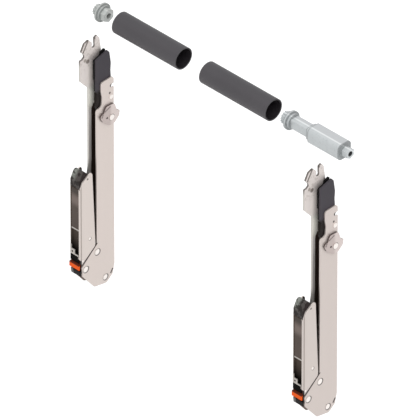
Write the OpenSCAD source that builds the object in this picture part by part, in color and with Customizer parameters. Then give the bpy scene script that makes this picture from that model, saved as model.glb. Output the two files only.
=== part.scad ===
// Lift-up door mechanism: two lever arms with door clips, and the parts of their stabiliser.
// +X runs across the cabinet, +Y into the cabinet and +Z up. The origin is the centre of the
// left arm's axle notch, in the middle of the notched wall. An arm's own shapes are drawn in
// Y and Z from its main pivot, and in X from the middle of its thickness.

/* [Arm] */
// Distance between the two arms
arm_spacing = 252.8; // [235:0.1:900]
// Thickness of an arm, across
arm_t = 13.2; // [12.8:0.1:15]
// Thickness of the steel sheet
wall_t = 1.2; // [1:0.1:1.4]
// Width of the main arm, front to rear
arm_w = 19.7; // [18:0.1:22]
// Distance from the main pivot back to the rear edge
pivot_to_rear = 10.3; // [9.5:0.1:12]
// Height of the arm's head above the main pivot
arm_h = 193.2; // [180:0.1:240]
// Width of the head
head_w = 14.4; // [13:0.1:16]
// Height of the head, above the narrowing
head_h = 22; // [18:0.1:24]
// How far the far wall's front edge is set back
far_setback = 3; // [2:0.1:5]
// Radius of the axle notch in the head
notch_r = 2; // [1.5:0.1:2.4]
// Height of the axle notch below the head's top
notch_drop = 8.8; // [7.5:0.1:10]
// Height of the lock plate's rivet below the head's top
lock_drop = 37.6; // [36:0.1:43]

/* [Foot] */
// Reach of the foot's upper edge from the main pivot
foot_reach = 34.8; // [33:0.1:36]
// Direction of that reach, from straight back
foot_angle = 128; // [126:0.5:130]
// How far the foot comes forward of the main pivot
foot_front = 26.6; // [25:0.1:27]
// Radius of the main pin
main_pin_r = 1.9; // [1.5:0.1:2.2]
// Radius of the main pin's heads
main_head_r = 2.6; // [2.4:0.1:3.2]
// Radius of the foot rivets' shanks
foot_rivet_r = 1.5; // [1.2:0.1:2]
// Radius of the foot rivets' heads
foot_rivet_head_r = 2.8; // [2.4:0.1:3]
// Height of a rivet or pin head
head_t = 0.6; // [0.4:0.1:1]

/* [Door fitting] */
// How far the fitting's door side lies in front of the main pivot
fitting_front = 27.5; // [27.2:0.1:29]
// How far the far side plate's door side is set back
plate_setback = 1.2; // [0.8:0.1:1.4]
// Gap between the fitting and the foot
foot_gap = 1.1; // [0.9:0.1:1.6]
// Height of the fitting's shoulder above the main pivot
fitting_shoulder = 99.5; // [90:0.1:110]
// Height of the fitting's peak above its shoulder
fitting_peak = 11; // [9:0.1:13]
// Control lever pivot, forward of the main pivot
control_front = 17.5; // [17:0.1:18]
// Control lever pivot, above the main pivot
control_up = 46.6; // [45.5:0.1:48]
// Radius of the control lever's pin
control_pin_r = 1.25; // [1:0.05:1.5]

/* [Clip] */
// Depth of the clip's housing
clip_depth = 3; // [2.6:0.1:3.2]
// Height of the release lever's pin above the foot's upper edge
release_up = 3.9; // [3.7:0.1:4.2]
// Height of the bar across the clip's face
clip_bar_z = 57.6; // [55:0.1:60]
// Height of the orange release tab
tab_h = 4.2; // [3.6:0.1:4.6]
// Radius of the release lever's pin
release_pin_r = 1; // [0.8:0.05:1.2]

/* [Control lever] */
// Thickness of the control lever
lever_t = 1.8; // [1.4:0.1:2]
// Width of the control lever's strip
strip_w = 3; // [2.6:0.1:4.2]
// How far the strip's front edge lies in front of the main pivot
strip_front = 12.4; // [11.5:0.1:12.8]
// Height of the control lever's longer prong above the arm's head
prong_rise = 42.8; // [40:0.1:46]
// Radius of the notch between the prongs
prong_notch_r = 1.8; // [1.4:0.1:2]

/* [Stabiliser] */
// Height of the stabiliser's axis above the lock plates
stabiliser_up = 96; // [94:0.5:140]
// Outer radius of the tubes
tube_r = 9.7; // [9:0.1:12]
// Wall of the tubes
tube_wall = 1.1; // [0.8:0.1:1.3]
// Start of the left tube, from the left arm's near face
left_tube_x = 11; // [9:0.1:16]
// Length of the left tube
left_tube_l = 71.5; // [50:0.1:78]
// End of the right tube, short of the right arm's near face
right_tube_end = 69.2; // [67:0.1:72]
// Length of the right tube
right_tube_l = 74; // [50:0.1:78]
// Radius of the screw hole in the short adapter
short_hole_r = 2.4; // [1.8:0.1:2.8]
// Radius of the screw hole in the long adapter
long_hole_r = 2; // [1.5:0.1:2.4]

/* [Fits] */
// Radial clearance of a pin in its bore
pin_fit = 0.05; // [0.02:0.01:0.1]
// Side clearance between parts that slide past each other
side_fit = 0.2; // [0.15:0.05:0.3]

/* [Hidden] */

steel = [0.84, 0.80, 0.77];
dark_steel = [0.62, 0.60, 0.58];
black_plastic = [0.29, 0.28, 0.30];
orange_plastic = [0.95, 0.35, 0.12];
panel_plastic = [0.36, 0.32, 0.29];
tube_grey = [0.34, 0.33, 0.35];
zinc = [0.80, 0.82, 0.81];

// Levels across the arm: outside and inside of the walls, then the plates and tongues within
half_t = arm_t / 2;
inner_x = half_t - wall_t;
plate_t = 1;
plate_x = inner_x - plate_t;
tongue_t = 1.1;
tongue_x = plate_x - side_fit - tongue_t;

rear_y = pivot_to_rear;
front_y = rear_y - arm_w;
head_front_y = rear_y - head_w;
neck_z = arm_h - head_h - 5;
notch_y = rear_y - notch_r / 2;
notch_z = arm_h - notch_drop;
web_low = 7;
web_high = neck_z - 0.2;

// Level of the two walls' foot: an upper edge square to the foot's reach
function reach_z(reach, y) = (reach - y * cos(foot_angle)) / sin(foot_angle);
fitting_reach = foot_reach + foot_gap;
foot_rivets_at = [[-9, 29.2], [-22.1, 18.4]];
control_at = [-control_front, control_up];
lock_at = [6, arm_h - lock_drop];
catch_at = [7.2, neck_z + 8];
cap_pin_at = [-19.5, fitting_shoulder + 6.6];
release_at = [-25.4, reach_z(foot_reach, -25.4) + release_up];
clip_low = release_at[1] + 2.8;
tab_top = release_at[1] - 4.5;
guard_top = release_at[1] - 9.6;
web_y = -23;
clip_back_y = -24.2;

// Unit vector along v
function unit(v) = v / norm(v);

// Arc that rounds the corner q between p and s with radius r
function round_corner(p, q, s, r, steps) =
  let (
    u = unit(p - q),
    v = unit(s - q),
    half = acos(u * v) / 2,
    centre = q + unit(u + v) * r / sin(half),
    from = q + u * r / tan(half) - centre,
    to = q + v * r / tan(half) - centre,
    start = atan2(from[1], from[0]),
    turn = atan2(from[0] * to[1] - from[1] * to[0], from * to)
  )
  [for (i = [0 : steps]) centre + r * [cos(start + turn * i / steps), sin(start + turn * i / steps)]];

// Outline through corners written [y, z, radius]
function rounded(corners, steps = 5) =
  let (n = len(corners))
  [
    for (i = [0 : n - 1])
      let (
        before = corners[(i + n - 1) % n],
        here = corners[i],
        after = corners[(i + 1) % n]
      )
      each round_corner(
        [before[0], before[1]], [here[0], here[1]], [after[0], after[1]], here[2], steps
      )
  ];

// Flat piece drawn in Y and Z, from x to x + t
module sheet(x, t) {
  translate([x, 0, 0])
    rotate([90, 0, 90])
      linear_extrude(t)
        children();
}

// Round bar along X from x to x + l, at a place in Y and Z
module rod(x, l, r, at, sides = 40) {
  translate([x, at[0], at[1]])
    rotate([0, 90, 0])
      cylinder(h = l, r = r, $fn = sides);
}

// Ring along X
module ring(x, l, r_in, r_out, at) {
  difference() {
    rod(x, l, r_out, at);
    rod(x - 1, l + 2, r_in, at);
  }
}

// The same piece on both sides of the arm's middle
module both_sides() {
  children();
  mirror([1, 0, 0])
    children();
}

// Place of an arm's own frame
module at_arm(index) {
  translate([index * arm_spacing - half_t + wall_t / 2, -notch_y, -notch_z])
    children();
}

// Foot shared by both walls, closed at the top between the front and rear edges
foot_corners = [
  [-foot_front, reach_z(foot_reach, -foot_front), 0.8],
  [-25.4, 12.6, 2],
  [-12.4, -3.6, 3],
  [1.2, -6.2, 4],
  [8.2, -0.6, 3],
  [rear_y, 9, 3]
];

module near_wall_outline() {
  polygon(rounded(concat(
    [[front_y, reach_z(foot_reach, front_y), 0.5]],
    foot_corners,
    [
      [rear_y, arm_h, 3],
      [head_front_y, arm_h - 0.8, 2.5],
      [head_front_y, arm_h - head_h / 2.4, 2],
      [head_front_y + 1.2, arm_h - head_h * 0.7, 5],
      [head_front_y + 0.6, neck_z + 3.4, 3],
      [front_y, neck_z + 1.6, 2.5]
    ]
  )));
}

module far_wall_outline() {
  far_y = front_y + far_setback;
  polygon(rounded(concat(
    [
      [far_y, reach_z(foot_reach, front_y) + 8, 3],
      [front_y, reach_z(foot_reach, front_y), 0.5]
    ],
    foot_corners,
    [
      [rear_y, neck_z, 2],
      [far_y, neck_z, 2]
    ]
  )));
}

module main_arm() {
  color(steel)
    difference() {
      union() {
        sheet(inner_x, wall_t)
          near_wall_outline();
        sheet(-half_t, wall_t)
          far_wall_outline();
        translate([-half_t, rear_y - wall_t, web_low])
          cube([arm_t - wall_t / 2, wall_t, web_high - web_low]);
      }
      rod(-half_t - 1, arm_t + 2, main_pin_r + pin_fit, [0, 0]);
      for (at = foot_rivets_at)
        rod(-half_t - 1, arm_t + 2, foot_rivet_r + pin_fit, at);
      rod(0, arm_t, lock_shank_r + pin_fit, lock_at);
      rod(0, arm_t, catch_pin_r + pin_fit, catch_at);
      rod(0, arm_t, notch_r, [notch_y, notch_z]);
    }
}

// Bearing plates inside the foot's walls
module foot_plates() {
  color(dark_steel)
    both_sides()
      difference() {
        sheet(plate_x, plate_t)
          polygon(rounded([
            [-6.4, foot_reach - 4.6, 2],
            [-12, foot_reach - 7.8, 2],
            [-24.6, 20.8, 2],
            [-22.6, 13.4, 2],
            [-6, -3.4, 4],
            [4.6, -3.4, 4],
            [5.4, 6, 4]
          ]));
        rod(plate_x - 1, plate_t + 2, main_pin_r + pin_fit, [0, 0]);
        for (at = foot_rivets_at)
          rod(plate_x - 1, plate_t + 2, foot_rivet_r + pin_fit, at);
      }
}

// Rivet with a low cone head outside the wall
module wall_rivet(at, shank_r, head_r) {
  rod(plate_x, half_t - plate_x + 0.01, shank_r, at);
  translate([half_t, at[0], at[1]])
    rotate([0, 90, 0]) {
      cylinder(h = head_t / 2, r = head_r, $fn = 40);
      translate([0, 0, head_t / 2 - 0.01])
        cylinder(h = head_t / 2, r1 = head_r, r2 = head_r - head_t, $fn = 40);
    }
}

module foot_rivets() {
  color(steel)
    both_sides()
      for (at = foot_rivets_at)
        wall_rivet(at, foot_rivet_r, foot_rivet_head_r);
}

module main_pin() {
  color(steel) {
    rod(-half_t - 0.01, arm_t + 0.02, main_pin_r, [0, 0]);
    both_sides() {
      rod(half_t, head_t / 2, main_head_r, [0, 0]);
      rod(half_t + head_t / 2 - 0.01, head_t / 2, main_head_r - 0.5, [0, 0]);
    }
  }
}

module main_sleeve() {
  color(dark_steel)
    ring(-tongue_x + side_fit / 2, 2 * tongue_x - side_fit, main_pin_r + pin_fit, 3.3, [0, 0]);
}

// Side plate of the door fitting, with its door side at y
function fitting_corners(y) = [
  [y, reach_z(fitting_reach, y), 0.8],
  [y, fitting_shoulder, 2],
  [y + 1.9, fitting_shoulder + fitting_peak / 2, 2],
  [-19.6, fitting_shoulder + fitting_peak * 0.85, 3],
  [-15.4, fitting_shoulder + fitting_peak, 1],
  [-14.2, fitting_shoulder + fitting_peak * 0.8, 1.5],
  [-11.1, reach_z(fitting_reach, -11.1) + 1.6, 1.2],
  [-11.9, reach_z(fitting_reach, -11.9), 0.8]
];

// Steel frame of the door fitting: two side plates, the near one with a lip along its door side,
// a web, and tongues that reach the main pin
module fitting_frame() {
  color(steel)
    difference() {
      union() {
        sheet(inner_x, wall_t)
          polygon(rounded(fitting_corners(-fitting_front)));
        sheet(-half_t, wall_t)
          polygon(rounded(fitting_corners(-fitting_front + plate_setback)));
        translate([lip_in_x, lip_y, clip_low - 1.6])
          cube([inner_x - lip_in_x + 0.1, lip_t, fitting_shoulder - clip_low]);
        both_sides() {
          sheet(tongue_x, inner_x - tongue_x + 0.1)
            polygon(rounded([
              [-22, 62, 2],
              [-22, reach_z(fitting_reach + 1.6, -22), 1],
              [-13, reach_z(fitting_reach + 1.6, -13), 1],
              [-13, 62, 2]
            ]));
          sheet(tongue_x, tongue_t)
            polygon(rounded([
              [-22, 60, 2],
              [-22, 26, 2],
              [-24.4, 22, 1.5],
              [-24.4, 14.6, 2],
              [-4.6, -4.4, 4],
              [4.6, -4.4, 4],
              [4.6, 6, 4],
              [-13, 36, 6],
              [-13, 60, 2]
            ]));
        }
        translate([-inner_x - 0.1, clip_back_y, 38])
          cube([2 * inner_x + 0.2, web_y - clip_back_y, fitting_shoulder - 1.6 - 38]);
      }
      rod(-half_t, arm_t, main_pin_r + pin_fit, [0, 0]);
      rod(-half_t - 1, arm_t + 2, control_pin_r + pin_fit, control_at);
      rod(-half_t - 1, arm_t + 2, release_pin_r + pin_fit, release_at);
      rod(-half_t - 1, arm_t + 2, cap_pin_r + pin_fit, cap_pin_at);
    }
}

cap_pin_r = 0.9;

module clip_cap() {
  low = fitting_shoulder - 1.3;
  front = -fitting_front + 0.2;
  color(black_plastic)
    difference() {
      sheet(-inner_x, 2 * inner_x)
        polygon(rounded([
          [front, low, 0.5],
          [front, low + 7, 4],
          [-22.6, low + 15.6, 2.5],
          [-19.4, low + 13.2, 1.5],
          [-17.6, low + 9, 1.5],
          [-17.6, low, 0.5]
        ]));
      rod(-half_t, arm_t, cap_pin_r + pin_fit, cap_pin_at);
    }
}

module cap_pin() {
  color(dark_steel)
    rod(-half_t, arm_t, cap_pin_r, cap_pin_at);
}

housing_wall = 0.8;
pocket_y = clip_back_y - clip_depth + 1.8;
pocket_x = inner_x - housing_wall;
skirt_back_y = -fitting_front + 0.5;
skirt_y = skirt_back_y - 0.6;
skirt_drop = 5.2;
lip_in_x = tongue_x + tongue_t;
lip_y = -fitting_front;
lip_t = 0.6;
lever_spring_r = 1.5;
apron_x = tongue_x - side_fit;
apron_y = release_at[0] + lever_spring_r + side_fit;
apron_t = 0.8;
apron_drop = clip_low - guard_top - side_fit;
leg_x = -3.6;
leg_w = 1.4;

// Housing with one pocket in its face, a skirt in front of the release lever's pin and an apron
// behind it. The near edge of the face makes room for the frame's lip.
module clip_housing() {
  face_y = clip_back_y - clip_depth;
  color(black_plastic)
    difference() {
      union() {
        translate([-inner_x, face_y, clip_low])
          cube([2 * inner_x, clip_depth, fitting_shoulder - 1.6 - clip_low]);
        translate([-inner_x, skirt_y, clip_low])
          cube([2 * inner_x, clip_back_y - skirt_y, housing_wall]);
        translate([-inner_x, skirt_y, clip_low - skirt_drop])
          cube([2 * inner_x, skirt_back_y - skirt_y, skirt_drop + housing_wall]);
        translate([-apron_x, apron_y, clip_low - apron_drop])
          cube([2 * apron_x, apron_t, apron_drop + housing_wall]);
        translate([-apron_x, clip_back_y - 0.1, clip_low])
          cube([2 * apron_x, apron_y + apron_t - clip_back_y + 0.1, housing_wall]);
      }
      translate([-pocket_x, face_y - 1, clip_low + housing_wall])
        cube([2 * pocket_x, pocket_y - face_y + 1, fitting_shoulder - 3.2 - clip_low]);
      translate([lip_in_x - 0.1, skirt_y - 1, 0])
        cube([half_t, lip_y + lip_t + 0.1 - skirt_y + 1, fitting_shoulder]);
      translate([leg_x - 0.3, skirt_back_y - 0.1, clip_low - 0.1])
        cube([leg_w + 0.6, pocket_y - skirt_back_y + 0.15, housing_wall + 0.2]);
    }
}

module clip_panel() {
  low = clip_bar_z + 0.7;
  color(panel_plastic)
    translate([-pocket_x + 0.1, pocket_y - 1.6, low])
      cube([pocket_x + lip_in_x - 0.2, 1.6, fitting_shoulder - 2.5 - low]);
}

module clip_bar() {
  color(steel)
    translate([-pocket_x + 0.1, pocket_y - 1.7, clip_bar_z - 0.6])
      cube([pocket_x + lip_in_x - 0.2, 1.7, 1.2]);
}

hook_low = clip_low + 1.4;
hook_x = -inner_x + 0.2;
hook_t = 0.7;
hook_bar_h = 1.2;
hook_back_y = clip_back_y - clip_depth - 0.1;

// Hook of the clip: an eye and a prong over a cross bar, on a leg that ends round the lever's pin
module clip_hook() {
  color(steel)
    difference() {
      union() {
        translate([0, hook_back_y, hook_low])
          rotate([90, 0, 0])
            linear_extrude(hook_t)
              difference() {
                union() {
                  translate([hook_x, 0])
                    square([lip_in_x - hook_x - 0.3, hook_bar_h]);
                  translate([hook_x, 0])
                    square([1.3, 8.6]);
                  translate([hook_x, 0])
                    square([5.1, 5.1]);
                }
                translate([hook_x + 1.5, 1.7])
                  square([1.7, 1.7]);
              }
        translate([leg_x, hook_back_y - 0.1, hook_low])
          cube([leg_w, pocket_y - hook_back_y, hook_bar_h]);
        translate([leg_x, pocket_y - 1.1, release_at[1]])
          cube([leg_w, 1, hook_low - release_at[1] + 0.1]);
        rod(leg_x, leg_w, lever_spring_r - 0.05, release_at);
      }
      rod(leg_x - 1, leg_w + 2, release_pin_r + pin_fit, release_at);
    }
}

eye_gap = 7.8;
eye_front_y = skirt_back_y + 0.3;

// Release lever: two eyes on its pin and a wide tab in front of the foot
module release_lever() {
  color(orange_plastic)
    difference() {
      union() {
        sheet(-inner_x + 0.2, 2 * inner_x - 0.4)
          polygon(rounded([
            [eye_front_y, tab_top + 5.7, 0.6],
            [-24, tab_top + 5.7, 1.2],
            [-24, tab_top + 3.5, 0.8],
            [-26.2, tab_top + 0.9, 0.5],
            [-27.3, tab_top - 0.6, 0.3],
            [-27.9, tab_top - 0.6, 0.2],
            [-27.9, tab_top + 0.7, 0.2],
            [eye_front_y, tab_top + 1.9, 0.3]
          ]));
        sheet(-inner_x, 2 * inner_x)
          polygon(rounded([
            [-27.7, tab_top, 0.3],
            [-27.7, tab_top - tab_h, 0.3],
            [-29, tab_top - tab_h + 0.4, 0.4],
            [-28.9, tab_top + 0.6, 0.4],
            [-27.8, tab_top + 1.2, 0.2]
          ]));
      }
      rod(-half_t, arm_t, release_pin_r + pin_fit, release_at);
      translate([-eye_gap / 2, -28, tab_top + 1.3])
        cube([eye_gap, 6, 7]);
    }
}

module lever_pin() {
  color(steel)
    rod(-half_t, arm_t, release_pin_r, release_at);
}

module lever_spring() {
  color(dark_steel)
    ring(
      leg_x + leg_w + side_fit, eye_gap / 2 - leg_x - leg_w - 2 * side_fit,
      release_pin_r + pin_fit, lever_spring_r, release_at
    );
}

// Guard below the release tab, held between the fitting's tongues
module clip_guard() {
  color(black_plastic) {
    translate([-tongue_x, -27, guard_top - 4.4])
      cube([2 * tongue_x, 8, 4.2]);
    sheet(-inner_x + 1, half_t + inner_x - 1.4)
      polygon(rounded([
        [-27, guard_top - 5, 0.3],
        [-27, guard_top, 0.3],
        [-28.4, guard_top, 0.5],
        [-27.8, guard_top - 5, 0.3]
      ]));
  }
}

prong_z = arm_h + prong_rise;
prong_notch_y = -6.9;
throat = 1.7 * prong_notch_r;

// Control lever: a flat strip with a pronged hook plate at its top
module control_lever() {
  color(steel)
    difference() {
      sheet(-lever_t / 2, lever_t)
        union() {
          polygon(rounded([
            [-strip_front, prong_z - 47, 2],
            [-21.6, prong_z - 36.5, 1.5],
            [-21.6, prong_z - 16.5, 1],
            [-19.2, prong_z - 16.5, 0.6],
            [-16.8, prong_z - 14.8, 0.8],
            [-17.4, prong_z - 12, 0.8],
            [-20.4, prong_z - 8.6, 1],
            [-16.8, prong_z - 2, 1],
            [-12, prong_z - 0.4, 1.5],
            [prong_notch_y - throat / 2, prong_z - 4.2, 0.5],
            [prong_notch_y - throat / 2, prong_z - 8, 0.2],
            [prong_notch_y + throat / 2, prong_z - 8, 0.2],
            [prong_notch_y + throat / 2, prong_z - 1.4, 0.8],
            [-2.6, prong_z, 1],
            [0, prong_z - 3.6, 1.5],
            [1.8, prong_z - 17, 3],
            [-4.6, prong_z - 42, 4],
            [-5.2, prong_z - 60, 3],
            [-strip_front + strip_w, prong_z - 68, 4],
            [-strip_front + strip_w, 118, 20],
            [-control_front + 4.4, control_up + 4, 4],
            [-control_front + 3.2, control_up - 4.2, 3.2],
            [-control_front - 3.2, control_up - 4.2, 3.2],
            [-control_front - 4.4, control_up + 4, 4],
            [-strip_front, 112, 20]
          ]));
        }
      rod(-2, 4, control_pin_r + pin_fit, control_at);
      rod(-2, 4, prong_notch_r, [prong_notch_y, prong_z - 8.2]);
    }
}

module control_pin() {
  color(steel)
    rod(-half_t - 0.2, arm_t + 0.4, control_pin_r, control_at);
}

module control_spacers() {
  color(dark_steel)
    both_sides()
      ring(
        lever_t / 2 + side_fit / 2, tongue_x - lever_t / 2 - side_fit,
        control_pin_r + pin_fit, 2.8, control_at
      );
}

catch_pin_r = 1.5;
catch_top = arm_h + 26.8;
catch_near_x = inner_x - side_fit;
catch_t = 3.4;
catch_play = 0.6;

// Catch: a thick black plate with a groove round its upper edge and a tail behind the wall's neck
module hook_catch() {
  edge = [
    [catch_at[0] - 3.4, catch_at[1] - 3.2, 3],
    [catch_at[0] + 2.6, catch_at[1] - 3.2, 3],
    [9, arm_h - 8, 3],
    [8.1, arm_h + 6, 4],
    [8.6, arm_h + 13, 4],
    [7, catch_top - 3, 3],
    [4.6, catch_top, 1.2],
    [-8.4, catch_top - 4.2, 1],
    [-8.4, arm_h - 8.4, 0.8],
    [-5.6, arm_h - 12, 1]
  ];
  color(black_plastic)
    difference() {
      union() {
        sheet(catch_near_x - 1.3, 1.3)
          polygon(rounded(edge));
        sheet(catch_near_x - catch_t, catch_t)
          polygon(rounded([
            for (p = edge)
              [p[0] * 0.86 - 0.1, p[1] > arm_h + 10 ? p[1] - 1.6 : p[1], p[2] * 0.86]
          ]));
        sheet(catch_near_x - catch_t, catch_t - 0.3)
          polygon(rounded([
            [-7.4, neck_z + 4, 2],
            [-4.6, neck_z - 5.4, 1.5],
            [3.2, neck_z - 6, 2],
            [4.8, neck_z + 2, 1.5],
            [4, neck_z + 12, 1],
            [-6.8, neck_z + 17, 1]
          ]));
        sheet(catch_near_x - catch_t, 1.1)
          polygon(rounded([
            [4, catch_top - 8, 1.5],
            [4.6, catch_top + 0.2, 0.8],
            [3, catch_top + 1.2, 0.6],
            [-0.8, catch_top - 0.4, 0.8],
            [-2, catch_top - 3.4, 0.6],
            [-8.3, catch_top - 5.4, 1],
            [-8.3, arm_h, 1]
          ]));
      }
      rod(0, arm_t, catch_pin_r + pin_fit, catch_at);
      rod(0, catch_near_x - 2.2, 3, catch_at);
      rod(0, arm_t, notch_r + catch_play, [notch_y, notch_z]);
      translate([0, notch_y, notch_z - notch_r - catch_play])
        cube([arm_t, notch_r + 5, 2 * (notch_r + catch_play)]);
    }
}

module catch_pin() {
  color(steel) {
    rod(catch_near_x - catch_t, half_t + head_t - catch_near_x + catch_t, catch_pin_r, catch_at);
    rod(half_t, head_t, catch_pin_r + 0.5, catch_at);
  }
}

module catch_spring() {
  color(dark_steel)
    ring(catch_near_x - catch_t, 1.1, catch_pin_r + pin_fit, 2.5, catch_at);
}

lock_shank_r = 1.8;
lock_t = 1.5;

// Lobed lock plate on the outside of the near wall
module lock_plate() {
  color(steel)
    difference() {
      sheet(half_t + side_fit, lock_t)
        polygon(rounded([
          for (p = [
            [-12.6, 4.6, 2],
            [-9.8, 7.2, 1],
            [-8.4, 6.6, 0.5],
            [-7.2, 9.6, 0.5],
            [-5.4, 12.4, 2],
            [3.4, 12, 2.5],
            [6, 4.4, 0.8],
            [9.4, 2.2, 1.5],
            [8.6, -2.6, 2],
            [3.2, -7.4, 3],
            [-3, -7, 3],
            [-9.6, -1, 2]
          ])
            [lock_at[0] + p[0], lock_at[1] + p[1], p[2]]
        ]));
      rod(half_t, 3, lock_shank_r + pin_fit, lock_at);
      rod(half_t, 3, 0.8, lock_at + [-4.9, 1.2]);
    }
}

module lock_rivet() {
  outside = half_t + side_fit + lock_t + side_fit / 2;
  color(steel) {
    rod(inner_x - 0.7, outside - inner_x + 0.71, lock_shank_r, lock_at);
    rod(inner_x - 0.7, 0.7, 2.8, lock_at);
    rod(outside, head_t, 2.5, lock_at);
  }
}

// Stabiliser pieces are placed along X from the near face of an arm, on one axis
stabiliser_at = [catch_at[0] - notch_y, lock_at[1] + stabiliser_up - notch_z];
near_face = wall_t / 2;
tube_bore_r = tube_r - tube_wall;
plug_gap = 0.3;

module axis_from(x) {
  translate([near_face + x, stabiliser_at[0], stabiliser_at[1]])
    rotate([0, 90, 0])
      children();
}

// Ribbed stub along Z
module ribbed_stub(r, l, ribs) {
  cylinder(h = l, r = r, $fn = 40);
  for (i = [0 : ribs - 1])
    rotate(i * 360 / ribs)
      translate([0, -0.4, 0])
        cube([r + 0.7, 0.8, l]);
}

// Bar along Z with a square section and cut corners
module rounded_bar(side, corner, l) {
  linear_extrude(l)
    polygon(rounded([
      [-side / 2, -side / 2, corner],
      [side / 2, -side / 2, corner],
      [side / 2, side / 2, corner],
      [-side / 2, side / 2, corner]
    ]));
}

module short_adapter() {
  flange_r = tube_bore_r - plug_gap;
  color(zinc)
    difference() {
      union() {
        axis_from(-16)
          ribbed_stub(4.2, 5.8, 12);
        axis_from(-10.4)
          cylinder(h = 1.9, r = flange_r, $fn = 60);
        axis_from(-8.6)
          cylinder(h = 2, r = 6.8, $fn = 60);
        axis_from(-6.8)
          cylinder(h = 4.6, r = 6, $fn = 6);
      }
      axis_from(-12)
        cylinder(h = 12, r = short_hole_r, $fn = 40);
    }
}

module tube(x, l) {
  color(tube_grey)
    difference() {
      axis_from(x)
        cylinder(h = l, r = tube_r, $fn = 96);
      axis_from(x - 1)
        cylinder(h = l + 2, r = tube_bore_r, $fn = 96);
    }
}

module left_tube() {
  tube(left_tube_x, left_tube_l);
}

module right_tube() {
  tube(arm_spacing - right_tube_end - right_tube_l, right_tube_l);
}

module long_adapter() {
  base = arm_spacing;
  color(zinc)
    difference() {
      union() {
        axis_from(base - 56)
          ribbed_stub(5, 6, 14);
        axis_from(base - 50.2)
          cylinder(h = 2, r = tube_bore_r - plug_gap, $fn = 60);
        axis_from(base - 48.4)
          cylinder(h = 2.6, r = 6.6, $fn = 60);
        axis_from(base - 46)
          rounded_bar(8.8, 1, 20);
        axis_from(base - 27)
          rounded_bar(11.4, 2, 4);
        axis_from(base - 24)
          rounded_bar(14.7, 4, 34);
        axis_from(base + 9.8)
          cylinder(h = 1, r = 5.6, $fn = 60);
        axis_from(base + 10.6)
          cylinder(h = 6, r = 4.7, $fn = 6);
      }
      axis_from(base + 4.6)
        cylinder(h = 13, r = long_hole_r, $fn = 40);
    }
}

at_arm(0) main_arm();  // left_main_arm
at_arm(0) foot_plates();  // left_foot_plates
at_arm(0) foot_rivets();  // left_foot_rivets
at_arm(0) main_pin();  // left_main_pin
at_arm(0) main_sleeve();  // left_main_sleeve
at_arm(0) fitting_frame();  // left_fitting_frame
at_arm(0) clip_cap();  // left_clip_cap
at_arm(0) cap_pin();  // left_cap_pin
at_arm(0) clip_housing();  // left_clip_housing
at_arm(0) clip_panel();  // left_clip_panel
at_arm(0) clip_bar();  // left_clip_bar
at_arm(0) clip_hook();  // left_clip_hook
at_arm(0) release_lever();  // left_release_lever
at_arm(0) lever_pin();  // left_lever_pin
at_arm(0) lever_spring();  // left_lever_spring
at_arm(0) clip_guard();  // left_clip_guard
at_arm(0) control_lever();  // left_control_lever
at_arm(0) control_pin();  // left_control_pin
at_arm(0) control_spacers();  // left_control_spacers
at_arm(0) hook_catch();  // left_hook_catch
at_arm(0) catch_pin();  // left_catch_pin
at_arm(0) catch_spring();  // left_catch_spring
at_arm(0) lock_plate();  // left_lock_plate
at_arm(0) lock_rivet();  // left_lock_rivet
at_arm(1) main_arm();  // right_main_arm
at_arm(1) foot_plates();  // right_foot_plates
at_arm(1) foot_rivets();  // right_foot_rivets
at_arm(1) main_pin();  // right_main_pin
at_arm(1) main_sleeve();  // right_main_sleeve
at_arm(1) fitting_frame();  // right_fitting_frame
at_arm(1) clip_cap();  // right_clip_cap
at_arm(1) cap_pin();  // right_cap_pin
at_arm(1) clip_housing();  // right_clip_housing
at_arm(1) clip_panel();  // right_clip_panel
at_arm(1) clip_bar();  // right_clip_bar
at_arm(1) clip_hook();  // right_clip_hook
at_arm(1) release_lever();  // right_release_lever
at_arm(1) lever_pin();  // right_lever_pin
at_arm(1) lever_spring();  // right_lever_spring
at_arm(1) clip_guard();  // right_clip_guard
at_arm(1) control_lever();  // right_control_lever
at_arm(1) control_pin();  // right_control_pin
at_arm(1) control_spacers();  // right_control_spacers
at_arm(1) hook_catch();  // right_hook_catch
at_arm(1) catch_pin();  // right_catch_pin
at_arm(1) catch_spring();  // right_catch_spring
at_arm(1) lock_plate();  // right_lock_plate
at_arm(1) lock_rivet();  // right_lock_rivet
short_adapter();
left_tube();
right_tube();
long_adapter();
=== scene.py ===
"""Dressed view of a lift-up door mechanism: two folding lever arms with door clips, and the
tubes and adapters of their stabiliser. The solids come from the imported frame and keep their
places. This file turns the rivet heads and the main pins, winds the springs, gives every
surface its own metal, plastic or paint, and sets the floor, the light and the camera.
Places and lengths are in millimetres until they reach a mesh, a lamp or the camera.
"""

import bpy
import numpy as np
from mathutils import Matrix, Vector


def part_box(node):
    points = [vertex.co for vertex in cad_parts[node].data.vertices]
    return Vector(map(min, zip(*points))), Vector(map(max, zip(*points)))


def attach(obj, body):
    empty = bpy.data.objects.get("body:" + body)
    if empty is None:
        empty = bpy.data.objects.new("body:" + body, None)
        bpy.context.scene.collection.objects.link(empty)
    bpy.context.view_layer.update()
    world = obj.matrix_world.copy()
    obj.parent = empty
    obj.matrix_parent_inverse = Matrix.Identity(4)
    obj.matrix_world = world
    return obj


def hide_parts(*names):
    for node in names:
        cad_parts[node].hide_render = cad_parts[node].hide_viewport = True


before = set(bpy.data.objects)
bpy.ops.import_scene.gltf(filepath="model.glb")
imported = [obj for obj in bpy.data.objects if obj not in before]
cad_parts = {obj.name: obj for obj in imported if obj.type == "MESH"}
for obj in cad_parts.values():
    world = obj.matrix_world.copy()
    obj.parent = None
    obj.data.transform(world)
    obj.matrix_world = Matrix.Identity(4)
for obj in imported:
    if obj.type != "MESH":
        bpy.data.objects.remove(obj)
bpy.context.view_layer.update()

MM = 0.001
SIDES = ("left", "right")


# Places read off the solids


def box_of(node):
    """Low and high corner of a solid's box."""
    low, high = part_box(node)
    return np.array(low) / MM, np.array(high) / MM


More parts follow.
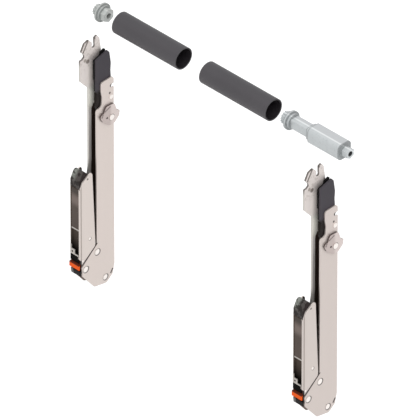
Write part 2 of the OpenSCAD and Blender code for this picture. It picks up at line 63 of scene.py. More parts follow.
def middle(node):
    """Middle of a solid's box."""
    low, high = box_of(node)
    return (low + high) / 2


PIVOT = middle("left_main_sleeve")
ARM_X = {side: middle(f"{side}_main_sleeve")[0] for side in SIDES}
SPACING = ARM_X["right"] - ARM_X["left"]
ARM_LOW, ARM_HIGH = box_of("left_main_arm")
ARM_HALF = (ARM_HIGH[0] - ARM_LOW[0]) / 2
WALL = 1.2
ARM_REAR = ARM_HIGH[1] - PIVOT[1]
TUBE = middle("left_tube")
TUBE_R = box_of("left_tube")[1][2] - TUBE[2]
FITTING_FRONT = box_of("left_fitting_frame")[0][1]
SHORT_END, LONG_START = box_of("short_adapter")[1][0], box_of("long_adapter")[0][0]


def at_pivot(node):
    """Place of a solid's middle in an arm's own Y and Z, which count from its main pin."""
    return middle(node)[1:] - PIVOT[1:]


LOCK_RIVET, CATCH_PIN = at_pivot("left_lock_rivet"), at_pivot("left_catch_pin")
LEVER_PIN, CONTROL_PIN = at_pivot("left_lever_pin"), at_pivot("left_control_pin")

# Places in an arm's own Y and Z
RIVETS = ((-9.0, 29.2), (-22.1, 18.4))
RIVET_R, PIN_HEAD_R = 2.8, 2.6
HEADS = (((0.0, 0.0), PIN_HEAD_R), *((at, RIVET_R) for at in RIVETS))
# Painted shade in a notch, along a slit by the foot that the solid lacks, and in a hole of the
# strip; a dark line where the fitting's plate meets the foot, painted as its edge with its
# shadow
NOTCH_SHADE = (7.4, 185.0)
FOOT_SLIT = ((6.3, 1.3), (6.9, 2.2), (7.5, 3.1), (8.1, 4.0))
FOOT_SEAM = ((-10.9, 37.1), (-27.9, 22.5))
STRIP_HOLE = (-11.6, 105.2)
PRONG_EDGE = ((-12.9, 235.2), (-18.2, 226.5))
LIP_LOW = 29.4
TAB_TOP = box_of("left_release_lever")[1][2] - PIVOT[2] - 4.5

# Dark marks of the lock plate, counted from its rivet
LOCK_MARKS = ((-6.6, 8.5), (-5.0, 9.2), (-3.4, 9.8), (-1.8, 10.4), (-9.7, 6.0), (-10.4, 4.4))

# Places along X of the steps in the two castings
STEPS = [SHORT_END - step for step in (8.4, 6.5, 4.5)]
STEPS += [LONG_START + step for step in (5.9, 7.7, 10.1, 29.2, 32.2, 65.9, 66.7)]


# Shader maths


class Wire:
    """A number carried by one socket. Arithmetic on it adds Math nodes."""

    def __init__(self, tree, socket):
        self.tree, self.socket = tree, socket

    def maths(self, operation, *others):
        """Math node with this number and the others as its inputs."""
        numbers = dict(enumerate((self, *others)))
        return self.tree.add("Math", {"operation": operation}, numbers)

    def __add__(self, other):
        return self.maths("ADD", other)

    def __mul__(self, other):
        return self.maths("MULTIPLY", other)

    def __sub__(self, other):
        return self.maths("SUBTRACT", other)

    def __rsub__(self, other):
        return self.tree.add("Math", {"operation": "SUBTRACT"}, {0: other, 1: self})

    def __pow__(self, other):
        return self.maths("POWER", other)

    def __gt__(self, other):
        return self.maths("GREATER_THAN", other)

    def __abs__(self):
        return self.maths("ABSOLUTE")

    __radd__, __rmul__ = __add__, __mul__


class Tree:
    """A node tree, with one method that adds any node."""

    def __init__(self, owner):
        owner.use_nodes = True
        self.nodes, self.links = owner.node_tree.nodes, owner.node_tree.links
        self.nodes.clear()

    def add(self, kind, settings=None, inputs=None, output=0):
        """Adds a node, makes its settings and fills its sockets with numbers or wires."""
        node = self.nodes.new("ShaderNode" + kind)
        for key, value in (settings or {}).items():
            setattr(node, key, value)
        for key, value in (inputs or {}).items():
            if isinstance(value, Wire):
                self.links.new(value.socket, node.inputs[key])
            else:
                node.inputs[key].default_value = value
        return Wire(self, node.outputs[output]) if node.outputs else None

    def ramp(self, value, start, end):
        """0 before start and 1 past end, smooth between. Start may lie past end."""
        settings = {"interpolation_type": "SMOOTHSTEP"}
        return self.add("MapRange", settings, {0: value, 1: start, 2: end, 3: 0.0, 4: 1.0})

    def blend(self, share, first, second):
        """Colour between two colours."""
        inputs = {0: share, 6: first, 7: second}
        return self.add("Mix", {"data_type": "RGBA"}, inputs, output=2)


def colour(red, green, blue):
    """Linear colour from one written as 0 to 255."""
    c = np.array([red, green, blue]) / 255
    return (*np.where(c <= 0.04045, c / 12.92, ((c + 0.055) / 1.055) ** 2.4), 1.0)


# Painted shade for holes, a notch, a slit and the gaps round pins
HOLLOW_SHADE = colour(40, 32, 30)
# Colour of the painted shadow round pin heads
SEAT_SHADOW = (0.05, 0.04, 0.04, 1)
WHITE = (1, 1, 1, 1)


class Finish(Tree):
    """A surface finish round one Principled shader, patterned on Object coordinates. Its base
    colour is built up in layers, each painted over those before it."""

    def __init__(self, name, **constants):
        self.material = bpy.data.materials.new(name)
        super().__init__(self.material)
        self.shader = self.nodes.new("ShaderNodeBsdfPrincipled")
        for key, value in constants.items():
            self.shader.inputs[key.replace("_", " ")].default_value = value
        self.add("OutputMaterial", inputs={"Surface": Wire(self, self.shader.outputs[0])})
        object_place = self.add("TexCoord", output="Object")
        self.place = self.times(object_place, (1 / MM, 1 / MM, 1 / MM))
        self.x, self.y, self.z = (
            self.add("SeparateXYZ", inputs={0: self.place}, output=axis) for axis in "XYZ"
        )
        self.base = None

    def times(self, vector, factors):
        """Vector with each of its numbers multiplied by its own factor."""
        return self.add("VectorMath", {"operation": "MULTIPLY"}, {0: vector, 1: factors})

    def feed(self, **wires):
        """Joins wires to the shader's sockets."""
        for key, wire in wires.items():
            self.links.new(wire.socket, self.shader.inputs[key.replace("_", " ")])

    def paint(self, share, tone):
        """Covers the base colour with a tone, fully where the share is 1."""
        self.base = self.blend(share, self.base, tone)

    def done(self):
        """Joins the base colour to the shader and gives the material."""
        self.feed(Base_Color=self.base)
        return self.material

    def noise(self, size, detail=2.0, stretch=(1, 1, 1), rough=0.5):
        """Soft noise from 0 to 1 with grains of about that size, longer where stretched."""
        vector = self.times(self.place, [1 / s for s in stretch])
        settings = {"Vector": vector, "Scale": 1 / size, "Detail": detail, "Roughness": rough}
        return self.add("TexNoise", inputs=settings)

    def relief(self, height, strength, depth, edge=0.2):
        """Bump over softly broken edges."""
        soft = self.add("Bevel", {"samples": 4}, {"Radius": edge * MM})
        inputs = {"Strength": strength, "Distance": depth * MM, "Height": height, "Normal": soft}
        self.feed(Normal=self.add("Bump", inputs=inputs))

    def behind(self):
        """Distance behind the main pins' axis."""
        return self.y - PIVOT[1]

    def above(self):
        """Height above the main pins' axis."""
        return self.z - PIVOT[2]

    def far_arm(self):
        """1 on the right arm and 0 on the left one."""
        return self.x > (ARM_X["left"] + SPACING / 2)

    def across(self):
        """Distance to the right of the middle of whichever arm the point is on."""
        return self.x - self.far_arm() * SPACING - ARM_X["left"]

    def inside_walls(self):
        """1 between an arm's walls, with their inner faces, and 0 outside."""
        return self.ramp(abs(self.across()), ARM_HALF - WALL + 0.12, ARM_HALF - WALL + 0.04)

    def from_line(self, y, z):
        """Distance from the line along X through a Y and Z of the frame."""
        dy, dz = self.y - y, self.z - z
        return (dy * dy + dz * dz) ** 0.5

    def from_axis(self, at):
        """Distance from the line along X through a place in an arm's own Y and Z."""
        return self.from_line(PIVOT[1] + at[0], PIVOT[2] + at[1])

    def spot(self, at, radius, tone=HOLLOW_SHADE, share=0.9):
        """Round spot at a place in an arm's own Y and Z; by default dark, as painted shade of a
        hollow.
        """
        near = self.ramp(self.from_axis(at), radius + 0.3, radius - 0.3)
        self.paint(near * share, tone)

    def seat_shadow(self, at, radius, width=0.75):
        """Painted shadow round a pin's head, wider below and behind it."""
        away = self.from_axis((at[0] + 0.4, at[1] - 0.35))
        self.paint(self.ramp(away, radius + width, radius + 0.25) * 0.92, SEAT_SHADOW)

    def seam(self, start, end, width, tone):
        """Line through two places in an arm's own Y and Z, from the upper to the lower one."""
        run = np.subtract(end, start)
        normal = np.array([run[1], -run[0]]) / np.hypot(*run)
        y, z = self.behind() - start[0], self.above() - start[1]
        near = self.ramp(abs(y * normal[0] + z * normal[1]), width + 0.2, width - 0.2)
        between = self.ramp(z, 1.2, 0.6) * self.ramp(z, run[1] - 1.2, run[1] - 0.6)
        self.paint(near * between * 0.85, tone)


# Finishes


def sheet_metal(name, tone, shade=0.05, roughness=0.42, metallic=0.55):
    """Satin nickel-plated sheet: clouded tone, with a drawn grain along the arm."""
    f = Finish(name, Metallic=metallic)
    cloud = f.noise(22, 3)
    grain = f.noise(0.5, 3, stretch=(1, 1, 14))
    darker = [c * (1 - shade) for c in tone[:3]] + [1]
    f.base = f.blend(cloud * 0.6 + grain * 0.4, tone, darker)
    f.feed(Roughness=roughness - 0.06 + grain * 0.12)
    f.relief(grain, 0.12, 0.05)
    return f


def arm_steel():
    """Arm: plain outside, with painted shadows round the heads, and painted shade between the
    walls, darker the further it lies behind the front. The right arm is a little darker."""
    f = sheet_metal("arm_nickel", colour(213, 202, 196), 0.04)
    f.paint(f.far_arm() * 0.6, colour(198, 188, 183))
    # Painted shadow round each head, and a dot of painted shade above it and to the front
    for (y, z), radius in HEADS:
        f.seat_shadow((y, z), radius)
        f.spot((y - 1.5, z + 2.3), 0.5)
    # Painted shade at the catch pin, in the notch and along the foot's slit
    f.spot((CATCH_PIN[0] - 1.4, CATCH_PIN[1] + 4.2), 1.0)
    f.spot(NOTCH_SHADE, 1.5)
    for place in FOOT_SLIT:
        f.spot(place, 0.8, share=1.0)
    # Dark line where the fitting's plate meets the foot, painted as its edge with the shadow
    # beside it
    f.seam(*FOOT_SEAM, 1.3, colour(70, 61, 58))
    # Painted shade between the walls, darker deeper behind the front; the rear edges stay plain
    not_rear_edge = f.ramp(f.behind(), ARM_REAR - 1.0, ARM_REAR - 1.3)
    deep = f.ramp(f.behind(), -9.4, -4.4)
    dark = f.blend(deep, colour(120, 104, 96), colour(84, 70, 62))
    f.paint(f.inside_walls() * not_rear_edge, dark)
    return f.done()


def fitting_steel():
    """Side plates, with a dark line behind the door side's edge painted as the shade of a bend,
    painted shade on the inner faces, and a painted shadow round the control pin.
    """
    f = sheet_metal("fitting_nickel", colour(213, 203, 197), 0.04)
    f.paint(f.far_arm() * 0.6, colour(198, 189, 184))
    # Painted shadow round the control pin
    f.seat_shadow(CONTROL_PIN, 1.25, 0.35)
    # Dark line on the outer faces behind the front edge: painted shade of a bend
    behind = f.y - FITTING_FRONT
    line = f.ramp(behind, -0.3, 0.1) * f.ramp(behind, 1.2, 0.8)
    outside = f.ramp(f.across(), ARM_HALF - 0.3, ARM_HALF - 0.1)
    f.paint(line * outside * 0.8, colour(138, 127, 121))
    # Painted shade on the inner faces behind the lip
    lip = f.ramp(behind, 0.7, 0.5)
    f.paint(f.inside_walls() * (1 - lip) * 0.93, colour(34, 29, 26))
    below_lip = f.ramp(f.above(), LIP_LOW + 0.1, LIP_LOW - 0.1)
    f.paint(below_lip * f.ramp(behind, 1.0, 0.7), colour(22, 18, 17))
    return f.done()


def hook_steel():
    """Control lever: pale hook plate with stains, painted lighter beside the catch to offset the
    shade there. A strip, painted lighter at its top to offset its shade, darker downwards with
    painted shade towards the fitting, darker on its front edge and with a dark hole of painted
    shade. Dark sheared edges on the prongs."""
    f = sheet_metal("hook_nickel", colour(210, 206, 202), 0.06)
    up, behind = f.above(), f.behind()
    neck = f.ramp(up, 165, 172) * f.ramp(up, 194, 188)
    plate = f.ramp(up, 188, 194)
    # Painted light: the strip's top is lightened to offset its shade
    f.paint(f.ramp(up, 150, 160), colour(222, 218, 214))
    f.paint(neck, colour(219, 217, 208))
    f.paint(plate, colour(214, 206, 202))
    # Painted light: the plate beside the catch is lightened to offset the catch's shade
    lightened_by_catch = f.ramp(behind, -16, -11) * f.ramp(up, 216, 209)
    f.paint(lightened_by_catch * plate, colour(230, 222, 216))
    # Painted shade: the strip darkens downwards towards the fitting
    f.paint(f.ramp(up, 160, 128) * 0.7, colour(172, 168, 165))
    f.paint(f.ramp(up, 123, 109) * 0.85, colour(138, 134, 130))
    front = f.ramp(behind, -12.2, -13.4) * f.ramp(up, 168, 160) * f.ramp(up, 100, 112)
    f.paint(front * 0.7, colour(150, 147, 143))
    # Dark hole in the strip: painted shade
    f.spot(STRIP_HOLE, 0.6)
    blot = f.ramp(f.noise(2.6, 3, rough=0.6), 0.5, 0.6) * f.ramp(up, 204, 212)
    f.paint(blot * 0.45, colour(172, 163, 156))
    f.spot((-16.2, 217.6), 1.5, colour(140, 130, 122), 0.8)
    f.spot((-13.2, 215.5), 1.9, colour(104, 94, 86), 0.85)
    f.seam(*PRONG_EDGE, 0.8, colour(84, 76, 70))
    f.spot((-5.4, 234.2), 1.0, colour(90, 82, 76), 0.8)
    sheared = f.ramp(abs(f.across()), 0.86, 0.78)
    edge_tone = f.blend(f.ramp(up, 212, 220), colour(196, 192, 186), colour(84, 78, 74))
    f.paint(sheared * 0.85, edge_tone)
    return f.done()


def turned_steel():
    """Bright turned heads, with painted shade on the rim's rear and lower side."""
    f = sheet_metal("turned_steel", colour(248, 241, 236), 0.03, 0.34, 0.3)
    for (y, z), radius in HEADS:
        # Painted shade on each head's rim, at its rear and lower side
        rim = f.ramp(f.from_axis((y - 0.7, z + 0.6)), radius - 0.3, radius + 0.2)
        near = f.ramp(f.from_axis((y, z)), radius + 0.4, radius + 0.2)
        f.paint(rim * near * 0.9, colour(66, 57, 54))
    return f.done()


def lock_steel():
    """Stamped plate with dark sheared sides, dark marks, painted shade on its front part and in
    a small hole, and a painted shadow round its rivet.
    """
    f = sheet_metal("lock_nickel", colour(212, 200, 196), 0.06)
    y, z = LOCK_RIVET
    # Painted shadow round the rivet
    f.seat_shadow(LOCK_RIVET, 2.5, 0.6)
    # Painted shade on the plate's front part
    f.paint(f.ramp(f.behind(), y + 1.5, y - 2.5) * 0.6, colour(170, 156, 152))
    # Painted shade in a small hole
    f.spot((y - 4.9, z + 1.2), 0.9)
    for dy, dz in LOCK_MARKS:
        f.spot((y + dy, z + dz), 0.9, colour(92, 80, 77), 0.75)
    face = box_of("left_lock_plate")[1][0] - ARM_X["left"]
    f.paint(f.ramp(f.across(), face - 0.08, face - 0.2) * 0.9, colour(84, 72, 70))
    return f.done()


def dull_zinc():
    """Zinc-plated inner parts, with a cloudy passivated tone."""
    f = Finish("dull_zinc", Metallic=0.6)
    cloud = f.noise(3, 3)
    f.base = f.blend(cloud, colour(120, 116, 110), colour(86, 80, 74))
    f.feed(Roughness=0.42 + cloud * 0.15)
    f.relief(f.noise(0.3), 0.15, 0.04)
    return f.done()


def moulded(name, tone, low, roughness=0.5, size=0.35, strength=0.3, gloss=0.12):
    """Moulded plastic: fine eroded grain over a faint cloud. Grain of that size and strength."""
    f = Finish(name, Metallic=0.0, Specular_IOR_Level=gloss)
    grain = f.noise(size, 2)
    cloud = f.noise(9, 3)
    f.base = f.blend(cloud * 0.6 + grain * 0.4, tone, low)
    f.feed(Roughness=roughness + grain * 0.1)
    f.relief(grain, strength, 0.05)
    return f


def clip_black():
    """Housing: brown-black, deepening towards its lower end, with a pale band by the lip."""
    f = moulded("clip_black", colour(90, 79, 71), colour(74, 65, 59), gloss=0.02)
    f.paint(f.ramp(f.above(), 56, 33) * 0.97, colour(9, 8, 8))
    band = f.ramp(f.across(), 3.1, 3.4) * f.ramp(f.y - FITTING_FRONT, 0.9, 0.7)
    f.paint(band * f.ramp(f.above(), LIP_LOW, LIP_LOW + 1) * 0.9, colour(176, 165, 159))
    return f.done()


def guard_black():
    """Guard: black, with bare grey metal showing at its far end."""
    f = moulded("guard_black", colour(24, 19, 20), colour(12, 9, 10))
    bare = f.ramp(f.across() + f.noise(1.2), -0.9, -1.6)
    f.paint(bare * 0.9, colour(112, 110, 108))
    return f.done()


def cap_black():
    """Cap of the fitting: mottled, with a paler, greener painted highlight at the top of its far
    side.
    """
    f = moulded("cap_black", colour(86, 81, 79), colour(70, 65, 63), size=0.5, strength=0.5)
    # Painted highlight at the top of the far side
    top = f.ramp(f.above(), 103, 109) * f.ramp(f.across(), 1, -3)
    f.paint(top * 0.75, colour(148, 152, 145))
    blot = f.ramp(f.noise(3.4, 3, rough=0.65), 0.49, 0.54)
    f.paint(blot * 0.8, colour(30, 24, 22))
    f.paint(f.ramp(f.across(), 4.2, 5.2) * 0.8, colour(36, 26, 26))
    return f.done()


def catch_black():
    """Satin catch with a dark groove; its tail behind the wall's neck is painted near black as
    shade.
    """
    f = moulded("catch_black", colour(73, 69, 74), colour(67, 64, 70))
    f.paint(f.ramp(f.across(), 3.85, 3.7), colour(17, 16, 17))
    # Painted shade: the tail behind the wall's neck
    f.paint(f.ramp(f.above(), 187, 183) * 0.9, colour(30, 24, 20))
    return f.done()


def lever_orange():
    """Orange tab: a little worn, and painted dark at its top as the shade where it runs under
    the skirt.
    """
    f = moulded("lever_orange", colour(250, 98, 22), colour(238, 90, 18), 0.4, gloss=0.1)
    worn = f.ramp(f.noise(1.6, 3), 0.58, 0.7)
    f.paint(worn * 0.2, colour(215, 107, 73))
    # Painted shade: the tab's top band under the skirt
    f.paint(f.ramp(f.above(), TAB_TOP - 1.5, TAB_TOP - 0.9) * 0.9, colour(30, 16, 12))
    return f.done()


def smoked_panel():
    """Smoked panel: brown, darker at its top, with a soft paler band below as a painted
    reflection.
    """
    f = Finish("smoked_panel", Metallic=0.0, Specular_IOR_Level=0.25)
    cloud = f.noise(7, 2, stretch=(1, 1, 2.4))
    f.base = f.blend(cloud, colour(80, 66, 58), colour(66, 53, 45))
    f.paint(f.ramp(f.above(), 90, 95) * 0.8, colour(56, 46, 40))
    # Painted reflection: a soft paler band across the panel
    f.paint(f.ramp(abs(f.above() - 86), 8, 1) * 0.7, colour(128, 113, 106))
    f.feed(Roughness=0.34 + cloud * 0.12)
    f.relief(f.noise(0.4), 0.1, 0.03, 0.3)
    return f.done()


def tube_paint():
    """Matt anthracite powder coat, painted darker on top to offset the light falling there, and
    painted near black inside the bore as its shade.
    """
    f = Finish("tube_paint", Metallic=0.0)
    peel = f.noise(0.55, 2)
    f.base = f.blend(f.noise(16, 3), colour(72, 69, 73), colour(65, 62, 66))
    # Painted shade: the top is darkened to offset the light falling there
    top = f.ramp(f.y - TUBE[1] + (f.z - TUBE[2]), 1, 12)
    f.paint(top * 0.8, colour(56, 54, 58))
    # Painted shade inside the bore
    bore = f.ramp(f.from_line(TUBE[1], TUBE[2]), TUBE_R - 0.35, TUBE_R - 0.9)
    f.paint(bore, colour(30, 26, 30))
    f.feed(Roughness=0.5 + peel * 0.12)
    f.relief(peel, 0.35, 0.08, 0.3)
    return f.done()


def cast_zinc():
    """Tumbled die-casting: pale, cool, faintly pitted and a little dirty, painted darker on top
    to offset the light falling there, with a painted highlight along a ridge and painted shade
    in its steps and its hole. The short adapter is duller."""
    f = Finish("cast_zinc", Metallic=0.2)
    cloud, pits = f.noise(6, 3), f.noise(0.6, 3)
    f.base = f.blend(cloud * 0.7 + pits * 0.3, colour(206, 210, 211), colour(190, 195, 197))
    dirt = f.ramp(f.noise(1.8, 3, rough=0.6), 0.54, 0.66)
    f.paint(dirt * 0.14, colour(118, 121, 120))
    # Painted shade: the tops are darkened to offset the light falling there
    turn = f.z - TUBE[2] + f.y - TUBE[1]
    f.paint(f.ramp(turn, 4, 5.5) * 0.8, colour(190, 192, 194))
    # Painted highlight along the ridge between top and front
    f.paint(f.ramp(abs(turn - 4), 1.2, 0.3) * 0.6, colour(240, 242, 243))
    short = f.ramp(f.x, SHORT_END + 2, SHORT_END + 1)
    f.paint(short * 0.5, colour(178, 180, 173))
    # Painted shade in the steps
    for x in STEPS:
        f.paint(f.ramp(abs(f.x - x), 0.55, 0.15) * 0.55, colour(92, 96, 97))
    # Painted shade in the hole
    hole = f.ramp(f.from_line(TUBE[1], TUBE[2]), 2.45, 2.3)
    f.paint(hole * 0.9, colour(50, 52, 54))
    f.feed(Roughness=0.48 + pits * 0.12)
    f.relief(pits, 0.25, 0.08, 0.14)
    return f.done()


BRIGHT, ZINC = turned_steel(), dull_zinc()
CLIP_STEEL = sheet_metal("clip_zinc", colour(186, 180, 174), 0.1, 0.4, 0.5).done()
SPRING_WIRE = sheet_metal("spring_wire", colour(150, 146, 140), 0.2, 0.3, 0.8).done()
FINISH_OF = {
    "main_arm": arm_steel(),
    "foot_plates": ZINC,
    "foot_rivets": BRIGHT,
    "main_pin": BRIGHT,
    "main_sleeve": ZINC,
    "fitting_frame": fitting_steel(),
    "clip_cap": cap_black(),
    "cap_pin": ZINC,
    "clip_housing": clip_black(),
    "clip_panel": smoked_panel(),
    "clip_bar": CLIP_STEEL,
    "clip_hook": CLIP_STEEL,
    "release_lever": lever_orange(),
    "lever_pin": BRIGHT,
    "lever_spring": SPRING_WIRE,
    "clip_guard": guard_black(),
    "control_lever": hook_steel(),
    "control_pin": BRIGHT,
    "control_spacers": ZINC,
    "hook_catch": catch_black(),
    "catch_pin": BRIGHT,
    "catch_spring": SPRING_WIRE,
    "lock_plate": lock_steel(),
    "lock_rivet": BRIGHT,
}
COATS = {f"{side}_{part}": FINISH_OF[part] for side in SIDES for part in FINISH_OF}
COATS |= dict.fromkeys(("left_tube", "right_tube"), tube_paint())
COATS |= dict.fromkeys(("short_adapter", "long_adapter"), cast_zinc())

for node, material in COATS.items():
    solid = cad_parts[node]
    if not solid.material_slots:
        solid.data.materials.append(material)
    for place in solid.material_slots:
        place.material = material


# Made surfaces


def piece(name, grids, body, material, stands_for):
    """Piece of closed surfaces. Each grid holds rings of points, and each ring is joined to
    the next by four-sided faces. The first and last ring are closed by a fan to their middle.
    A surface whose volume, summed over its faces, comes out negative is turned round."""
    points, quads, fans, base = [], [], [], 0
    for grid in grids:
        rows, cols = grid.shape[:2]
        flat = np.concatenate([grid.reshape(-1, 3), [grid[0].mean(0), grid[-1].mean(0)]])
        row, col = np.meshgrid(np.arange(rows - 1) * cols, np.arange(cols), indexing="ij")
        beside = (col + 1) % cols
        quad = np.stack([row + col, row + beside, row + cols + beside, row + cols + col], -1)
        quad = quad.reshape(-1, 4)
        k = np.arange(cols)
        following = (k + 1) % cols
        end = (rows - 1) * cols
        fan = np.concatenate([
            np.stack([following, k, np.full(cols, rows * cols)], -1),
            np.stack([end + k, end + following, np.full(cols, rows * cols + 1)], -1),
        ])
        a, b, c, d = np.moveaxis(flat[quad], 1, 0)
        volume = (np.cross(a, b) * c).sum() + (np.cross(a, c) * d).sum()
        a, b, c = np.moveaxis(flat[fan], 1, 0)
        volume += (np.cross(a, b) * c).sum()
        if volume < 0:
            quad, fan = quad[:, ::-1], fan[:, ::-1]
        points.append(flat)
        quads.append(quad + base)
        fans.append(fan + base)
        base += len(flat)
    mesh = bpy.data.meshes.new(name)
    faces = np.concatenate(quads).tolist() + np.concatenate(fans).tolist()
    mesh.from_pydata(np.concatenate(points), [], faces)
    mesh.polygons.foreach_set("use_smooth", np.ones(len(faces), bool))
    mesh.set_sharp_from_angle(angle=np.radians(38))
    mesh.materials.append(material)
    obj = bpy.data.objects.new(name, mesh)
    bpy.context.scene.collection.objects.link(obj)
    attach(obj, body)
    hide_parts(*stands_for)


def turned(profile, centre, sides=40):
    """Turned surface: each point of the profile, a place along X and a radius, becomes a ring
    round the X axis through the centre."""
    turn = np.linspace(0, 2 * np.pi, sides, endpoint=False)
    x, r = np.array(profile, float).T[:, :, None]
    ring = np.stack([x + 0 * turn, r * np.cos(turn), r * np.sin(turn)], -1)
    return (ring + np.array(centre)) * MM


def along(path, radius, sides=10):
    """Round wire along a path: at each point a ring of that radius lies across the path. One
    of its two directions is the cross product of the path's tangent and a fixed vector, and
    the other is the cross product of the tangent and the first."""
    tangent = np.gradient(path, axis=0)
    tangent /= np.linalg.norm(tangent, axis=1)[:, None]
    first = np.cross(tangent, [1.0, 0.2, 0.1])
    first /= np.linalg.norm(first, axis=1)[:, None]
    second = np.cross(tangent, first)
    turn = np.linspace(0, 2 * np.pi, sides, endpoint=False)[:, None]
    ring = np.cos(turn) * first[:, None] + np.sin(turn) * second[:, None]
    return (path[:, None] + radius * ring) * MM


def coil(x_from, x_to, radius, turns, centre, legs, steps=26):
    """Path of a torsion spring: the angle grows evenly with the place along X, and straight
    legs leave its two ends towards the given points in Y and Z."""
    t = np.linspace(0, 1, int(turns * steps))
    angle = 2 * np.pi * turns * t
    x = x_from + (x_to - x_from) * t
    body = np.stack([x, radius * np.cos(angle), radius * np.sin(angle)], -1)
    share = np.linspace(0, 1, 8)[1:, None]
    tips = [np.array([end[0], *leg]) for end, leg in zip((body[0], body[-1]), legs)]
    lead = body[0] + (tips[0] - body[0]) * share[::-1]
    tail = body[-1] + (tips[1] - body[-1]) * share
    return np.concatenate([lead, body, tail]) + np.array(centre)


def head(out, radius, height=0.6):
    """Half profile of a riveted head, from its rim to a shallow dimple: a short upright rim, a
    dome whose height falls with the square of the radius, and a dip at its middle."""
    flat_share = 0.42
    share = np.linspace(1, flat_share, 9)
    x = out + height * (0.45 + 0.55 * (1 - share**2) / (1 - flat_share**2))
    dome = np.stack([x, radius * share], -1)
    dip = [[out + height * 0.78, radius * 0.3], [out + height * 0.74, radius * 0.08]]
    return np.concatenate([[[out, radius - 0.12]], dome, dip])


RIVET_DEPTH, RIVET_SHANK_R, PIN_R, WIRE_R = 2.2, 1.5, 1.9, 0.2
inner_end = ARM_HALF - RIVET_DEPTH
shank = [[inner_end, RIVET_SHANK_R - 0.2], [inner_end, RIVET_SHANK_R], [ARM_HALF, RIVET_SHANK_R]]
rivet = np.concatenate([shank, head(ARM_HALF, RIVET_R)])
pin_head = head(ARM_HALF, PIN_HEAD_R)
shaft = [[-ARM_HALF, PIN_R], [ARM_HALF, PIN_R]]
pin = np.concatenate([(pin_head * [-1, 1])[::-1], shaft, pin_head])

for side in SIDES:
    here = np.array([ARM_X[side], PIVOT[1], PIVOT[2]])
    rivets = [turned(rivet * [way, 1], here + [0, *at]) for at in RIVETS for way in (1, -1)]
    piece(f"{side}_rivet_heads", rivets, "arms", BRIGHT, [f"{side}_foot_rivets"])
    piece(f"{side}_pivot_pin", [turned(pin, here)], "arms", BRIGHT, [f"{side}_main_pin"])
    path = coil(-1.7, 3.4, 1.27, 9.25, here + [0, *LEVER_PIN], [(-1.3, -3.2), (1.2, -3.2)])
    piece(
        f"{side}_lever_coil", [along(path, WIRE_R)],
        f"{side}_fitting", SPRING_WIRE, [f"{side}_lever_spring"],
    )
    path = coil(2.05, 2.6, 2.1, 1.75, here + [0, *CATCH_PIN], [(2.1, 2.4), (2.6, -1.2)])
    piece(
        f"{side}_catch_coil", [along(path, WIRE_R)],
        "arms", SPRING_WIRE, [f"{side}_catch_spring"],
    )


# Floor, light and camera


def white_to_eye(tree, shader, strength):
    """1 for a ray from the camera, a glossy or a clear surface, and the white light that such
    a ray is to meet."""
    kinds = ("Is Camera Ray", "Is Glossy Ray", "Is Transmission Ray")
    camera_ray, glossy_ray, through_ray = (tree.add("LightPath", output=kind) for kind in kinds)
    seen = camera_ray.maths("MAXIMUM", glossy_ray).maths("MAXIMUM", through_ray)
    return seen, tree.add(shader, inputs={0: WHITE, 1: strength})


# The floor lies a gap below the door fittings, with what stands out in front of them, when
# they are folded out to the joint's limit
FOLD = np.radians(105)
FLOOR_HALF, FLOOR_GAP, STANDING_OUT = 14000, 3, 2
ahead = FITTING_FRONT - STANDING_OUT - PIVOT[1]
cap_top = box_of("left_clip_cap")[1][2] - PIVOT[2]
floor_z = PIVOT[2] + ahead * np.sin(FOLD) + cap_top * np.cos(FOLD) - FLOOR_GAP
signs = ((-1, -1), (1, -1), (1, 1), (-1, 1))
corners = np.array([(x * FLOOR_HALF, y * FLOOR_HALF, floor_z) for x, y in signs]) * MM
floor_mesh = bpy.data.meshes.new("floor")
floor_mesh.from_pydata(corners, [], [(0, 1, 2, 3)])
floor = bpy.data.objects.new("floor", floor_mesh)
bpy.context.scene.collection.objects.link(floor)
floor_paint = bpy.data.materials.new("floor_white")
tree = Tree(floor_paint)
seen, glow = white_to_eye(tree, "Emission", 0.3)
dull = tree.add("BsdfDiffuse", inputs={"Color": (0.86, 0.86, 0.86, 1)})
both = tree.add("AddShader", inputs={0: dull, 1: glow})
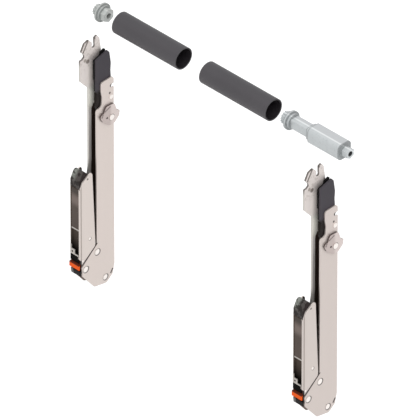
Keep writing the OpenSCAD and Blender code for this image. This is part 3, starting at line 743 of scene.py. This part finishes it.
tree.add("OutputMaterial", inputs={0: tree.add("MixShader", inputs={0: seen, 1: dull, 2: both})})
floor_mesh.materials.append(floor_paint)

world = bpy.data.worlds.new("studio")
bpy.context.scene.world = world
tree = Tree(world)
seen, glow = white_to_eye(tree, "Background", 1.0)
sky = tree.add("Background", inputs={0: WHITE, 1: 0.62})
tree.add("OutputWorld", inputs={0: tree.add("MixShader", inputs={0: seen, 1: sky, 2: glow})})


def lamp(name, strength, soft_degrees, towards):
    """Broad distant lamp that shines along a direction."""
    light = bpy.data.lights.new(name, "SUN")
    light.energy, light.angle = strength, np.radians(soft_degrees)
    obj = bpy.data.objects.new(name, light)
    obj.rotation_euler = Vector(towards).to_track_quat("-Z", "Y").to_euler()
    bpy.context.scene.collection.objects.link(obj)


lamp("key", 1.35, 50, (-0.52, 0.26, -0.8))
lamp("fill", 0.35, 80, (0.6, -0.3, -0.6))

# The photograph looks down at the object's corner, so that its three axes look alike
RIGHT = Vector((0.70711, 0.70711, 0))
UP = Vector((-0.40825, 0.40825, 0.8165))
BACK = Vector((0.57735, -0.57735, 0.57735))
# Half of the picture's width, the length that one pixel shows, and the place in the picture
# of the left main pin's right end
HALF_PICTURE, PIXEL, PIN_AT = 210, 0.8 * MM, (104.3, 277.5)
# Distance in front of the pin's end at which the picture has exactly that scale
TRUE_DEPTH = 145 * MM
pin_end = Vector((ARM_HIGH[0], PIVOT[1], PIVOT[2])) * MM
aim = pin_end + RIGHT * (HALF_PICTURE - PIN_AT[0]) * PIXEL
aim += UP * (PIN_AT[1] - HALF_PICTURE) * PIXEL + BACK * TRUE_DEPTH
camera = bpy.data.cameras.new("camera")
camera.lens, camera.sensor_width, camera.clip_end = 1500, 36, 100
eye = bpy.data.objects.new("camera", camera)
eye.location = aim + BACK * (HALF_PICTURE * PIXEL * camera.lens / (camera.sensor_width / 2))
eye.rotation_euler = BACK.to_track_quat("Z", "Y").to_euler()
bpy.context.scene.collection.objects.link(eye)
bpy.context.scene.camera = eye
bpy.context.scene.view_settings.view_transform = "Standard"
